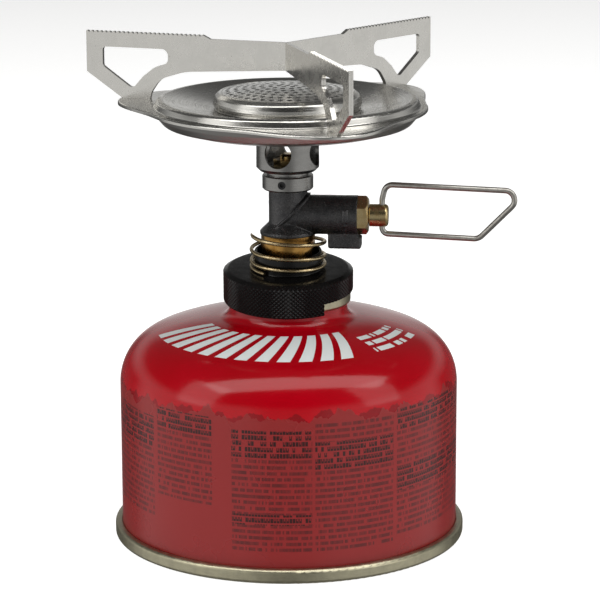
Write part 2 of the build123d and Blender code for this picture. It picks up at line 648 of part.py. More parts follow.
# ---------------------------------------------------------------- write every node
NODES = {
    "cartridge_shell": cartridge_shell,
    "cartridge_base": cartridge_base,
    "valve_cup": valve_cup,
    "cup_gasket": cup_gasket,
    "cartridge_valve_housing": valve_housing,
    "cartridge_valve_gasket": valve_gasket,
    "cartridge_valve_stem": valve_stem,
    "cartridge_valve_spring": valve_spring,
    "inlet_nut": inlet_nut,
    "inlet_seal": inlet_seal,
    "inlet_filter": inlet_filter,
    "depressor_pin": depressor_pin,
    "collar_clip": collar_clip,
    "locking_collar": locking_collar,
    "collar_spring": collar_spring,
    "valve_body": valve_body,
    "gland_nut": gland_nut,
    "gland_packing": gland_packing,
    "valve_spindle": valve_spindle,
    "spindle_o_ring": spindle_o_ring,
    "wire_handle": wire_handle,
    "clamp_ring": clamp_ring,
    "set_screw": set_screw,
    "mixing_tube": mixing_tube,
    "jet": jet,
    "burner_bowl": burner_bowl,
    "burner_plate": burner_plate,
    "burner_cap": burner_cap,
    "flame_disc": flame_disc,
    "flame_mesh": flame_mesh,
    "spreader": spreader,
    "pot_support_left_front": lambda: pot_support(0),
    "pot_support_front_right": lambda: pot_support(1),
    "pot_support_right_left": lambda: pot_support(2),
}

os.makedirs("parts", exist_ok=True)
for name, make in NODES.items():
    export_step(make(), f"parts/{name}.step")
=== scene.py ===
import math

import bpy
import numpy as np
from mathutils import Matrix, Vector


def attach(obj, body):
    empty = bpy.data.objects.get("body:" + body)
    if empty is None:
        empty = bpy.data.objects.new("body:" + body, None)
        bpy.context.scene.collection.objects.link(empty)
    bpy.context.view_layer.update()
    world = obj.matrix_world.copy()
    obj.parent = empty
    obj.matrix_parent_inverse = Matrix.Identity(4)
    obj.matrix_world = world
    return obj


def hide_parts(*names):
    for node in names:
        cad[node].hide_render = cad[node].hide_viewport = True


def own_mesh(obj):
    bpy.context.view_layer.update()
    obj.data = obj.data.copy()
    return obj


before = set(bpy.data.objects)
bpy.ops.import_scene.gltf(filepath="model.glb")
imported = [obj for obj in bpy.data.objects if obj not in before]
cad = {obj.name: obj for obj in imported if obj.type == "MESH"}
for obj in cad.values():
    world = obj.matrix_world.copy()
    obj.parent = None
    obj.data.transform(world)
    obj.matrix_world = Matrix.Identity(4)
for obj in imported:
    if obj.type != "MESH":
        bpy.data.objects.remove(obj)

# The frame is in metres, +X right, +Y away from the camera, +Z up. Dimensions below are in
# millimetres unless they say otherwise, and MM turns them into metres.
MM = 0.001
TAU = 2 * math.pi
scene = bpy.context.scene
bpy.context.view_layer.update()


# ---------------------------------------------------------------- node helpers
MIDDLE = (0.3, 0.7)  # where most of a noise's values lie
MIX_SHARE, MIX_A, MIX_B, MIX_RESULT = 0, 6, 7, 2  # sockets of a Mix node for colours


class Graph:
    """Builds a material's or the world's node tree from short calls that return sockets."""

    def __init__(self, tree):
        tree.nodes.clear()
        self.tree = tree

    def node(self, kind, **settings):
        made = self.tree.nodes.new(kind)
        for name, value in settings.items():
            setattr(made, name, value)
        return made

    def feed(self, socket, value):
        if isinstance(value, bpy.types.NodeSocket):
            self.tree.links.new(value, socket)
        elif value is not None:
            socket.default_value = value

    def math(self, operation, a, b=None, c=None):
        made = self.node("ShaderNodeMath", operation=operation)
        for socket, value in zip(made.inputs, (a, b, c)):
            self.feed(socket, value)
        return made.outputs[0]

    def product(self, first, *others):
        for other in others:
            first = self.math("MULTIPLY", first, other)
        return first

    def either(self, first, *others):
        for other in others:
            first = self.math("MAXIMUM", first, other)
        return first

    def without(self, value):
        """1 - value."""
        return self.math("SUBTRACT", 1.0, value)

    def inside(self, value, low, high):
        """1 where low < value < high, else 0."""
        above = self.math("GREATER_THAN", value, low)
        return self.product(above, self.math("LESS_THAN", value, high))

    def step(self, value, size):
        """Whole number of steps of the given size in value."""
        return self.math("FLOOR", self.math("DIVIDE", value, size))

    def part(self, value, size):
        """How far value is into its step of the given size, from 0 to 1."""
        return self.math("FRACT", self.math("DIVIDE", value, size))

    def combine(self, x, y, z):
        made = self.node("ShaderNodeCombineXYZ")
        for socket, value in zip(made.inputs, (x, y, z)):
            self.feed(socket, value)
        return made.outputs[0]

    def place(self):
        """(x, y, z, radius, azimuth) in the frame. Azimuth is in radians, and 0 faces -Y."""
        coordinates = self.node("ShaderNodeTexCoord").outputs["Object"]
        split = self.node("ShaderNodeSeparateXYZ")
        self.feed(split.inputs[0], coordinates)
        x, y, z = (self.product(metres, 1 / MM) for metres in split.outputs)
        radius = self.math("SQRT", self.math("ADD", self.product(x, x), self.product(y, y)))
        azimuth = self.math("ARCTAN2", x, self.product(y, -1.0))
        return x, y, z, radius, azimuth

    def noise(self, vector, scale, detail=3.0, roughness=0.5):
        """Smooth noise with scale cells to the vector's unit, which is usually a millimetre."""
        made = self.node("ShaderNodeTexNoise")
        self.feed(made.inputs["Vector"], vector)
        for name, value in (("Scale", scale), ("Detail", detail), ("Roughness", roughness)):
            made.inputs[name].default_value = value
        return made.outputs["Fac"]

    def cells(self, column, row, seed):
        """A random value from 0 to 1 for each cell of a table."""
        made = self.node("ShaderNodeTexWhiteNoise", noise_dimensions="3D")
        self.feed(made.inputs["Vector"], self.combine(column, row, seed))
        return made.outputs["Value"]

    def spread(self, value, low, high, to_low=0.0, to_high=1.0):
        """Value with the range low to high stretched to to_low to to_high, and kept in it."""
        made = self.node("ShaderNodeMapRange", clamp=True)
        for socket, number in zip(made.inputs, (value, low, high, to_low, to_high)):
            self.feed(socket, number)
        return made.outputs[0]

    def blend(self, share, a, b):
        """Colour a where share is 0 and b where it is 1."""
        made = self.node("ShaderNodeMix", data_type="RGBA")
        self.feed(made.inputs[MIX_SHARE], share)
        for index, value in ((MIX_A, a), (MIX_B, b)):
            colour = value if isinstance(value, bpy.types.NodeSocket) else (*value, 1.0)
            self.feed(made.inputs[index], colour)
        return made.outputs[MIX_RESULT]

    def bump(self, height, depth, below=None):
        """Normal of a surface whose height goes from 0 to depth, on top of the normal below."""
        made = self.node("ShaderNodeBump")
        made.inputs["Distance"].default_value = depth * MM
        self.feed(made.inputs["Height"], height)
        self.feed(made.inputs["Normal"], below)
        return made.outputs[0]


def material(name):
    made = bpy.data.materials.new(name)
    made.use_nodes = True
    return made, Graph(made.node_tree)


def surface(graph, colour, roughness, normal=None, tangent=None, **fixed):
    """Closes a material with one shader. The numbers in fixed go on its own sockets."""
    shader = graph.node("ShaderNodeBsdfPrincipled")
    graph.feed(shader.inputs["Base Color"], colour)
    graph.feed(shader.inputs["Roughness"], roughness)
    graph.feed(shader.inputs["Normal"], normal)
    graph.feed(shader.inputs["Tangent"], tangent)
    for name, value in fixed.items():
        socket = name.replace("_", " ").title().replace("Ior", "IOR")
        graph.feed(shader.inputs[socket], value)
    out = graph.node("ShaderNodeOutputMaterial")
    graph.tree.links.new(shader.outputs[0], out.inputs["Surface"])


def shaded(colour, share):
    """The colour, darker where share is below 1."""
    return [channel * share for channel in colour]


# ---------------------------------------------------------------- metals
SHEET_GRAIN, SHEET_SPECK = (0.25, 0.24, 0.23), (0.10, 0.09, 0.08)
BRASS_LINE, TARNISH = (0.20, 0.12, 0.04), (0.7, 0.62, 0.5)
CAST_DARK, CAST_PALE, CAST_WORN = (0.050, 0.050, 0.053), (0.085, 0.083, 0.084), (0.34, 0.33, 0.31)
TIN_PALE, TIN_DARK, TIN_STROKE = (0.52, 0.485, 0.34), (0.42, 0.39, 0.28), (0.60, 0.57, 0.45)


def satin_sheet(name, colour, roughness):
    """Tumbled stainless sheet: fine grain, faint cloudy patches, small dark specks."""
    made, g = material(name)
    x, y, z, _, _ = g.place()
    at = g.combine(x, y, z)
    cloud = g.noise(at, 0.22, 4.0, 0.6)
    grain = g.noise(at, 5.5, 2.0, 0.6)
    specks = g.spread(g.noise(at, 2.6, 1.0), 0.70, 0.78)
    tone = g.blend(g.spread(cloud, 0.35, 0.7), shaded(colour, 0.93), shaded(colour, 1.03))
    tone = g.blend(g.spread(grain, *MIDDLE, 0.0, 0.16), tone, SHEET_GRAIN)
    tone = g.blend(g.product(specks, 0.35), tone, SHEET_SPECK)
    rough = g.spread(cloud, *MIDDLE, roughness - 0.05, roughness + 0.06)
    rough = g.math("ADD", rough, g.product(specks, 0.1))
    surface(g, tone, rough, g.bump(grain, 0.012), metallic=1.0)
    return made


def spun(name, colour, roughness, line_scale=5.0, depth=0.012, anisotropic=0.55):
    """Metal formed or turned about the vertical axis, with fine circular lines."""
    made, g = material(name)
    x, y, z, radius, azimuth = g.place()
    lines = g.noise(g.combine(radius, g.product(azimuth, 0.6), z), line_scale, 2.0, 0.7)
    wide = g.noise(g.combine(radius, g.product(azimuth, 1.5), z), 0.5, 2.0)
    cloud = g.noise(g.combine(x, y, z), 0.12, 3.0)
    tone = g.blend(g.spread(wide, 0.35, 0.65), shaded(colour, 0.9), colour)
    tone = g.blend(g.spread(lines, 0.35, 0.7, 0.0, 0.2), tone, shaded(colour, 0.55))
    rough = g.spread(lines, *MIDDLE, roughness - 0.05, roughness + 0.07)
    rough = g.math("ADD", rough, g.spread(cloud, *MIDDLE, -0.03, 0.05))
    tangent = g.node("ShaderNodeTangent", direction_type="RADIAL", axis="Z").outputs[0]
    surface(g, tone, rough, g.bump(lines, depth), tangent, metallic=1.0, anisotropic=anisotropic)
    return made


def brass(name, colour, axis, roughness=0.24):
    """Turned brass with fine tool lines across the named axis and slight tarnish."""
    made, g = material(name)
    x, y, z, _, _ = g.place()
    along = {"x": x, "z": z}[axis]
    lines = g.combine(g.product(along, 6.0), g.product(y, 0.15), 0.0)
    lines = g.noise(lines, 1.0, 2.0, 0.7)
    cloud = g.noise(g.combine(x, y, z), 0.5, 4.0)
    tarnished = [channel * share for channel, share in zip(colour, TARNISH)]
    tone = g.blend(g.spread(cloud, 0.35, 0.75), colour, tarnished)
    tone = g.blend(g.spread(lines, 0.4, 0.7, 0.0, 0.2), tone, BRASS_LINE)
    rough = g.spread(cloud, *MIDDLE, roughness - 0.06, roughness + 0.12)
    surface(g, tone, rough, g.bump(lines, 0.012), metallic=1.0)
    return made


def drawn_wire(name, colour, dark, roughness):
    """Drawn wire: small dull patches in a soft sheen."""
    made, g = material(name)
    x, y, z, _, _ = g.place()
    at = g.combine(x, y, z)
    patches = g.noise(at, 1.1, 4.0, 0.65)
    grain = g.noise(at, 7.0, 2.0)
    tone = g.blend(g.spread(patches, 0.4, 0.68), colour, dark)
    rough = g.spread(patches, *MIDDLE, roughness - 0.06, roughness + 0.12)
    surface(g, tone, rough, g.bump(grain, 0.004), metallic=1.0)
    return made


def casting(name):
    """Dark tumbled casting: a pitted skin, greyer where it has been rubbed."""
    made, g = material(name)
    x, y, z, _, _ = g.place()
    at = g.combine(x, y, z)
    skin = g.noise(at, 2.6, 5.0, 0.65)
    fine = g.noise(at, 9.0, 2.0, 0.6)
    cloud = g.noise(at, 0.35, 3.0)
    worn = g.spread(fine, 0.60, 0.74)
    tone = g.blend(g.spread(cloud, *MIDDLE), CAST_DARK, CAST_PALE)
    tone = g.blend(g.product(worn, 0.5), tone, CAST_WORN)
    rough = g.spread(skin, *MIDDLE, 0.38, 0.22)
    normal = g.bump(fine, 0.045, g.bump(skin, 0.07))
    surface(g, tone, rough, normal, metallic=0.9)
    return made


def tinplate(name):
    """Tinned steel of the rolled seam: pale, slightly yellow, with soft blotches."""
    made, g = material(name)
    x, y, z, _, azimuth = g.place()
    blotch = g.noise(g.combine(x, y, z), 0.45, 5.0, 0.6)
    strokes = g.combine(g.product(azimuth, 14.0), g.product(z, 1.2), 0.0)
    strokes = g.noise(strokes, 1.6, 3.0, 0.6)
    tone = g.blend(g.spread(blotch, 0.35, 0.7), TIN_PALE, TIN_DARK)
    tone = g.blend(g.spread(strokes, 0.5, 0.75, 0.0, 0.35), tone, TIN_STROKE)
    rough = g.spread(strokes, *MIDDLE, 0.30, 0.44)
    surface(g, tone, rough, g.bump(strokes, 0.03), metallic=1.0)
    return made


# ---------------------------------------------------------------- plastics and rubber
PLASTIC_BLACK, PLASTIC_DUST = (0.006, 0.0055, 0.0055), (0.16, 0.15, 0.14)


def black_plastic(name, roughness):
    """Smooth black plastic with a little dust."""
    made, g = material(name)
    x, y, z, _, _ = g.place()
    at = g.combine(x, y, z)
    cloud = g.noise(at, 0.4, 4.0, 0.6)
    dust = g.spread(g.noise(at, 4.5, 2.0), 0.66, 0.76)
    tone = g.blend(g.product(dust, 0.06), PLASTIC_BLACK, PLASTIC_DUST)
    rough = g.spread(cloud, *MIDDLE, roughness - 0.04, roughness + 0.08)
    rough = g.math("ADD", rough, g.product(dust, 0.12))
    surface(g, tone, rough, g.bump(g.noise(at, 1.2, 3.0), 0.01), specular_ior_level=0.22)
    return made


def dull(name, colour, roughness, grain_scale=3.0, metallic=0.0):
    """Moulded rubber or plastic, or a small steel part, whose grain and tone vary a little."""
    made, g = material(name)
    x, y, z, _, _ = g.place()
    at = g.combine(x, y, z)
    cloud = g.noise(at, 0.6, 3.0)
    grain = g.noise(at, grain_scale, 3.0, 0.6)
    tone = g.blend(g.spread(cloud, *MIDDLE), shaded(colour, 0.8), colour)
    rough = g.spread(grain, *MIDDLE, roughness - 0.06, roughness + 0.08)
    surface(g, tone, rough, g.bump(grain, 0.02), metallic=metallic)
    return made


# ---------------------------------------------------------------- paint and print
# The shell's wall, shoulder arc, dome arc and neck. The print is laid out on them.
BODY_R, SHELL_T, SHOULDER_Z, SHOULDER_R, SHOULDER_SWEEP = 43.15, 0.45, 40.3, 13.6, 68.75
DOME_R, NECK_R, NECK_FILLET, NECK_TOP, SHELL_BOTTOM = 58.3, 15.0, 2.8, 62.7, 0.9

LACQUER_DEEP, LACQUER = (0.33, 0.0, 0.004), (0.37, 0.0, 0.006)
LACQUER_SHADE, LACQUER_ZONE = (0.20, 0.0, 0.003), (0.225, 0.012, 0.012)
INK_THIN, INK_BOLD, INK_WHITE = (0.050, 0.008, 0.008), (0.012, 0.006, 0.006), (0.72, 0.76, 0.76)

# The overprinted zone ends in a torn edge, and a darker shade shows above it. Each edge wanders
# up from its lowest height by up to its tear, with its waves to a radian of azimuth.
ZONE_LOW, ZONE_TEAR, ZONE_WAVES = 33.6, 16.0, 5.0
SHADE_LOW, SHADE_TEAR, SHADE_WAVES, SHADE_SEED = 36.0, 12.0, 7.0, 3.0

# Columns of unreadable small print: (from, to) in degrees of azimuth, (lowest, highest) above the
# ground, and how many rows at the top are bold. Bold blocks lie over the columns.
PRINT_COLUMNS = [
    (-178, -152, 8, 40, 3), (-150, -122, 8, 40, 5), (-112, -82, 8, 38, 3), (-80, -51, 12, 38, 5),
    (-49, -26, 18.5, 41, 3), (-19, 7.5, 7.5, 38.5, 4), (8.5, 36.5, 7.5, 41, 0),
    (38, 81, 9, 41.5, 3), (84, 112, 8, 40, 3), (116, 146, 8, 40, 4), (148, 176, 8, 38, 2),
]
BOLD_BLOCKS = [(8.5, 36.5, 28.5, 35.5), (38, 81, 20.5, 27.0), (-19, 7.5, 14.5, 17.2)]
PRINT_PITCH = 1.5

# A cell's width, the share of cells left blank between words, the part of the row's height that
# is inked, and the seed of its random values.
THIN_CELL, THIN_BLANK, THIN_ROW, THIN_SEED = 0.42, 0.2, (0.22, 0.80), 5.0
BOLD_CELL, BOLD_BLANK, BOLD_ROW, BOLD_SEED = 0.78, 0.14, (0.12, 0.88), 9.0
THIN_PALEST, THIN_STRENGTH, BOLD_STRENGTH = 0.55, 0.78, 0.92
# A bold cell's stroke and the hole in it, as parts of its width and height. Some have no hole.
STROKE_ACROSS, HOLE_ACROSS, HOLE_ABOVE, NO_HOLE = (0.08, 0.92), (0.36, 0.66), 0.48, 0.35

# White print on the shoulder: a row of slanted bars, and three rows of short broken bars. The
# radii are from the cartridge's axis. A note row is (inner radius, outer radius, cell's width).
SHOULDER_PRINT_Z = 45.0
MOTIF_BARS, MOTIF_BAR_SHARE, MOTIF_SLANT = 12, 0.62, 0.012
MOTIF_FROM, MOTIF_STEP = math.radians(-56.5), math.radians(9.3)
MOTIF_R = (20.5, 33.5)
NOTE_FROM, NOTE_TO = math.radians(42), math.radians(76)
NOTE_ROWS = ((25.2, 26.9, 0.95), (28.2, 29.9, 0.7), (31.2, 32.9, 0.7))
NOTE_R, NOTE_BLANK, NOTE_SEED = 29.0, 0.24, 11


def words(g, along, row, cell, blank):
    """1 on runs of cells that look like words, 0 in the gaps between them."""
    return g.math("GREATER_THAN", g.cells(g.step(along, cell), row, 0.0), blank)


def small_print(g, z, azimuth):
    """Thin and bold print on the wall, each above 0 where there is ink."""
    degrees = g.product(azimuth, 180 / math.pi)
    along = g.product(azimuth, BODY_R)
    row, height = g.step(z, PRINT_PITCH), g.part(z, PRINT_PITCH)
    thin, bold = 0.0, 0.0
    for start, end, low, high, heavy in PRINT_COLUMNS:
        across = g.inside(degrees, start, end)
        split = math.floor(high / PRINT_PITCH) * PRINT_PITCH - heavy * PRINT_PITCH
        thin = g.either(g.product(across, g.inside(z, low, split)), thin)
        if heavy:
            bold = g.either(g.product(across, g.inside(z, split, high)), bold)
    for start, end, low, high in BOLD_BLOCKS:
        block = g.product(g.inside(degrees, start, end), g.inside(z, low, high))
        bold = g.either(block, bold)
        thin = g.product(thin, g.without(block))

    darkness = g.cells(g.step(along, THIN_CELL), row, THIN_SEED)
    darkness = g.spread(darkness, 0.0, 1.0, THIN_PALEST, 1.0)
    thin_words = words(g, along, row, THIN_CELL, THIN_BLANK)
    thin = g.product(thin, g.inside(height, *THIN_ROW), thin_words, darkness)

    across = g.part(along, BOLD_CELL)
    hole = g.product(g.inside(across, *HOLE_ACROSS), g.math("GREATER_THAN", height, HOLE_ABOVE))
    holed = g.cells(g.step(along, BOLD_CELL), row, BOLD_SEED)
    hole = g.product(hole, g.math("GREATER_THAN", holed, NO_HOLE))
    stroke = g.product(g.inside(across, *STROKE_ACROSS), g.without(hole))
    bold_words = words(g, along, row, BOLD_CELL, BOLD_BLANK)
    bold = g.product(bold, g.inside(height, *BOLD_ROW), bold_words, stroke)
    return thin, bold


def shoulder_print(g, z, radius, azimuth):
    """1 on the white bars, 0 elsewhere."""
    slant = g.math("MULTIPLY_ADD", radius, MOTIF_SLANT, azimuth)
    bars = g.math("DIVIDE", g.math("SUBTRACT", slant, MOTIF_FROM), MOTIF_STEP)
    solid = g.math("LESS_THAN", g.math("FRACT", bars), MOTIF_BAR_SHARE)
    motif = g.product(solid, g.inside(bars, 0.0, MOTIF_BARS), g.inside(radius, *MOTIF_R))
    notes = 0.0
    along = g.product(azimuth, NOTE_R)
    for number, (low, high, cell) in enumerate(NOTE_ROWS):
        bar = g.product(g.inside(radius, low, high), g.inside(azimuth, NOTE_FROM, NOTE_TO))
        broken = words(g, along, float(NOTE_SEED + number), cell, NOTE_BLANK)
        notes = g.either(g.product(bar, broken), notes)
    return g.product(g.either(motif, notes), g.math("GREATER_THAN", z, SHOULDER_PRINT_Z))


def red_paint(name):
    """Glossy red lacquer with an overprinted lower zone and white bars on the shoulder."""
    made, g = material(name)
    x, y, z, radius, azimuth = g.place()
    at = g.combine(x, y, z)

    tear = g.noise(g.combine(g.product(azimuth, ZONE_WAVES), 0.0, 0.0), 1.0, 4.0, 0.55)
    zone_edge = g.math("MULTIPLY_ADD", tear, ZONE_TEAR, ZONE_LOW)
    zone = g.math("LESS_THAN", z, zone_edge)
    tear = g.combine(g.product(azimuth, SHADE_WAVES), SHADE_SEED, 0.0)
    tear = g.noise(tear, 1.0, 3.0, 0.55)
    shade_edge = g.math("MULTIPLY_ADD", tear, SHADE_TEAR, SHADE_LOW)
    shade = g.math("LESS_THAN", z, g.math("MAXIMUM", shade_edge, zone_edge))
    shade = g.product(shade, g.without(zone))
    thin, bold = (g.product(ink, zone) for ink in small_print(g, z, azimuth))

    cloud = g.noise(at, 0.06, 3.0)
    tone = g.blend(g.spread(cloud, *MIDDLE), LACQUER_DEEP, LACQUER)
    tone = g.blend(shade, tone, LACQUER_SHADE)
    tone = g.blend(zone, tone, LACQUER_ZONE)
    tone = g.blend(g.product(thin, THIN_STRENGTH), tone, INK_THIN)
    tone = g.blend(g.product(bold, BOLD_STRENGTH), tone, INK_BOLD)
    tone = g.blend(shoulder_print(g, z, radius, azimuth), tone, INK_WHITE)
    rough = g.math("ADD", g.spread(cloud, *MIDDLE, 0.12, 0.16), g.product(zone, 0.14))
    peel = g.noise(at, 0.9, 2.0)
    surface(g, tone, rough, g.bump(peel, 0.010), specular_ior_level=0.36)
    return made


M_SHEET = satin_sheet("stainless_sheet", (0.72, 0.705, 0.67), 0.25)
M_SPUN = spun("stainless_spun", (0.60, 0.59, 0.56), 0.20)
M_BOWL = spun("stainless_bowl", (0.60, 0.59, 0.565), 0.34, anisotropic=0.3)
M_DISC = spun("stainless_disc", (0.72, 0.715, 0.70), 0.26, 3.0, 0.01, 0.2)
M_TURNED = spun("steel_turned", (0.31, 0.305, 0.295), 0.28, 7.0, 0.02, 0.3)
M_CASTING = casting("black_casting")
M_BRASS = brass("brass_turned", (0.66, 0.53, 0.29), "x")
# A darker, more orange copy of the turned brass for the inlet nut, its filter and the depressor
# pin: painted shade from under the valve body and a painted red reflection of the cartridge.
M_BRASS_PAINTED_SHADE = brass("brass_painted_shade", (0.46, 0.26, 0.075), "z", 0.2)
M_BRASS_JET = brass("brass_jet", (0.50, 0.36, 0.16), "z")
M_BRONZE = drawn_wire("bronze_wire", (0.56, 0.45, 0.27), (0.36, 0.27, 0.14), 0.24)
M_WIRE = drawn_wire("stainless_wire", (0.50, 0.485, 0.45), (0.38, 0.36, 0.33), 0.32)
M_TIN = tinplate("tin_plate")
M_RED = red_paint("red_paint")
M_COLLAR = black_plastic("black_plastic", 0.17)
M_RUBBER = dull("rubber_black", (0.030, 0.030, 0.030), 0.7)
M_WHITE = dull("plastic_white", (0.80, 0.79, 0.75), 0.5)
M_STEEL = dull("spring_steel", (0.55, 0.55, 0.57), 0.32, 5.0, 1.0)
M_DARK = dull("oxide_black_steel", (0.030, 0.030, 0.032), 0.45, 5.0, 0.6)


# ---------------------------------------------------------------- mesh helpers
def piece(name, verts, faces, body, slot, look, nodes, smooth_to):
    """New mesh piece in place of CAD nodes, smooth across edges that bend less than smooth_to
    degrees."""
    mesh = bpy.data.meshes.new(name)
    mesh.from_pydata([tuple(v) for v in verts], [], faces)
    mesh.validate()
    obj = bpy.data.objects.new(name, mesh)
    scene.collection.objects.link(obj)
    mesh.materials.append(look)
    mesh.shade_smooth()
    mesh.set_sharp_from_angle(angle=math.radians(smooth_to))
    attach(obj, body)
    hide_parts(*nodes)
    return obj


def arc(cx, cy, radius, start, end, steps):
    """Points along a circular arc, angles in degrees."""
    angles = [math.radians(start + (end - start) * i / steps) for i in range(steps + 1)]
    return [(cx + radius * math.cos(a), cy + radius * math.sin(a)) for a in angles]


def lathe(profile, columns):
    """Vertices and quads of a closed outline of (radius, z), turned about Z."""
    verts, faces = [], []
    for i in range(columns):
        angle = TAU * i / columns
        verts += [(r * math.cos(angle) * MM, r * math.sin(angle) * MM, z * MM) for r, z in profile]
    n = len(profile)
    for i in range(columns):
        here, there = i * n, (i + 1) % columns * n
        for k in range(n):
            after = (k + 1) % n
            faces.append((here + k, there + k, there + after, here + after))
    return verts, faces


# ---------------------------------------------------------------- cartridge shell
WALL_STEPS, SHOULDER_STEPS, DOME_STEPS, NECK_STEPS = 12, 28, 16, 10
SHELL_COLUMNS = 288


def shell_side(inset):
    """One side of the shell's wall, from the bottom to the neck."""
    cx, cy = BODY_R - SHOULDER_R, SHOULDER_Z
    a = math.radians(SHOULDER_SWEEP)
    dx = cx + math.cos(a) * (SHOULDER_R - DOME_R)
    dy = cy + math.sin(a) * (SHOULDER_R - DOME_R)
    nx = NECK_R + NECK_FILLET
    ny = dy + math.sqrt((DOME_R + NECK_FILLET) ** 2 - (nx - dx) ** 2)
    meeting = math.degrees(math.atan2(ny - dy, nx - dx))
    wall = SHOULDER_Z - SHELL_BOTTOM
    side = [(BODY_R - inset, SHELL_BOTTOM + wall * i / WALL_STEPS) for i in range(WALL_STEPS)]
    side += arc(cx, cy, SHOULDER_R - inset, 0, SHOULDER_SWEEP, SHOULDER_STEPS)
    side += arc(dx, dy, DOME_R - inset, SHOULDER_SWEEP, meeting, DOME_STEPS)[1:]
    side += arc(nx, ny, NECK_FILLET + inset, 180 + meeting, 180, NECK_STEPS)[1:]
    return side + [(NECK_R - inset, NECK_TOP)]


shell_outline = shell_side(0) + shell_side(SHELL_T)[::-1]
piece("cartridge_lacquer", *lathe(shell_outline, SHELL_COLUMNS),
      "cartridge", "red_paint", M_RED, ["cartridge_shell"], 60)


# ---------------------------------------------------------------- locking collar
KNURLS = 92
KNURL_DEPTH = 0.29
COLLAR_R, COLLAR_INNER_R = 16.6, 16.22
# The knurl has ROWS rows of half diamonds. Outside the skirt the wall starts at WALL_ROW.
ROWS, WALL_ROW = 14, 5
ROW_LOW, ROW_HIGH = 61.6, 68.9
SKIRT_BOTTOM, COLLAR_CEILING, COLLAR_SHELF = 61.2, 65.9, 69.6
SKIRT_FROM, SKIRT_SWEEP = 124.0, 180.0  # degrees
FOOT_INSET = 0.3
CHAMFER_SLOPE = 0.7 / 1.3
COLLAR_TILT, COLLAR_PIVOT_Z = math.radians(5.2), 63.5
# (radius, z) from the chamfer over the shelf and the hub, and down the bore to the ceiling.
HUB_PROFILE = (
    [(15.42, 69.535), (15.3, 69.585), (15.15, COLLAR_SHELF), (12.0, COLLAR_SHELF)]
    + arc(8.95, 70.0, 0.4, 270, 180, 5) + [(8.55, 72.0)] + arc(8.25, 74.0, 0.3, 0, 90, 5)
    + [(8.05, 74.3), (7.9, 74.2), (7.9, 70.0), (7.9, COLLAR_CEILING)]
)


def locking_collar():
    """Collar with a diamond knurl whose grooves are real: each diamond is a small pyramid."""
    columns = 2 * KNURLS
    first, skirt = (round(sweep / 360 * columns) for sweep in (SKIRT_FROM, SKIRT_SWEEP))
    in_skirt = [(i - first) % columns < skirt for i in range(columns)]
    verts, faces, index = [], [], {}

    def point(key, i, r, z):
        key = (key, i % columns)
        if key not in index:
            angle = TAU * (i % columns) / columns
            index[key] = len(verts)
            verts.append(Vector((r * math.cos(angle), r * math.sin(angle), z)))
        return index[key]

    def row_z(j):
        return ROW_LOW + (ROW_HIGH - ROW_LOW) * j / ROWS

    def outer(j, i):
        groove = (i + j) % 2 == 0
        r = COLLAR_R - (KNURL_DEPTH if groove else 0)
        z = ROW_HIGH + (COLLAR_R - r) * CHAMFER_SLOPE if j == ROWS else row_z(j)
        return point(("out", j), i, r, z)

    def inner(j, i):
        z = {0: SKIRT_BOTTOM, WALL_ROW: row_z(WALL_ROW), ROWS: COLLAR_CEILING}[j]
        return point(("in", j), i, COLLAR_INNER_R, z)

    def foot(i):
        return point("foot", i, COLLAR_R - FOOT_INSET, SKIRT_BOTTOM)

    def top(i):
        hub = [point(("hub", k), i, r, z) for k, (r, z) in enumerate(HUB_PROFILE)]
        return [outer(ROWS, i)] + hub + [inner(ROWS, i)]

    for i in range(columns):
        n = i + 1
        for j in range(0 if in_skirt[i] else WALL_ROW, ROWS):
            a, b, c, d = outer(j, i), outer(j, n), outer(j + 1, n), outer(j + 1, i)
            faces += [(a, b, d), (b, c, d)] if (i + j) % 2 else [(a, b, c), (a, c, d)]
        if in_skirt[i]:
            faces.append((foot(i), foot(n), outer(0, n), outer(0, i)))
            faces.append((inner(0, i), inner(0, n), foot(n), foot(i)))
            faces.append((inner(WALL_ROW, i), inner(WALL_ROW, n), inner(0, n), inner(0, i)))
        else:
            low = outer(WALL_ROW, n), outer(WALL_ROW, i)
            faces.append((inner(WALL_ROW, i), inner(WALL_ROW, n), *low))
        faces.append((inner(ROWS, i), inner(ROWS, n), inner(WALL_ROW, n), inner(WALL_ROW, i)))
        here, there = top(i), top(n)
        for k in range(len(here) - 1):
            faces.append((here[k], there[k], there[k + 1], here[k + 1]))
        before = in_skirt[i - 1]
        if before != in_skirt[i]:
            side = [foot(i)] + [outer(j, i) for j in range(WALL_ROW + 1)]
            side += [inner(WALL_ROW, i), inner(0, i)]
            faces.append(tuple(side if before else side[::-1]))
    tilt = Matrix.Rotation(COLLAR_TILT, 4, "X")
    pivot = Vector((0, 0, COLLAR_PIVOT_Z))
    return [(tilt @ (v - pivot) + pivot) * MM for v in verts], faces


piece("locking_collar_knurled", *locking_collar(),
      "collar", "black_plastic", M_COLLAR, ["locking_collar"], 24)


# ---------------------------------------------------------------- collar spring
SPRING_R, SPRING_WIRE_R, SPRING_FROM, SPRING_TURNS = 9.3, 0.5, math.radians(230.0), 3.14
SPRING_LEAN = 0.74
# The first SPRING_LYING turns go from the tilted collar's slope to level, and the turns rise by
# SPRING_RISE * turns ** SPRING_RISE_POWER.
SPRING_GAP, SPRING_LYING, SPRING_RISE, SPRING_RISE_POWER = 0.06, 1.6, 1.107, 1.76
SPRING_STEPS, SPRING_SIDES = 360, 20
# The wire's upper end is ground to a point over POINT_LENGTH. Its lower end has a small chamfer:
# one more ring, narrower and a small part of a step before the first.
POINT_LENGTH, POINT_SHARE, POINT_POWER = 3.2, 0.12, 0.6
CHAMFER_SHARE, CHAMFER_STEP = 0.88, 0.001


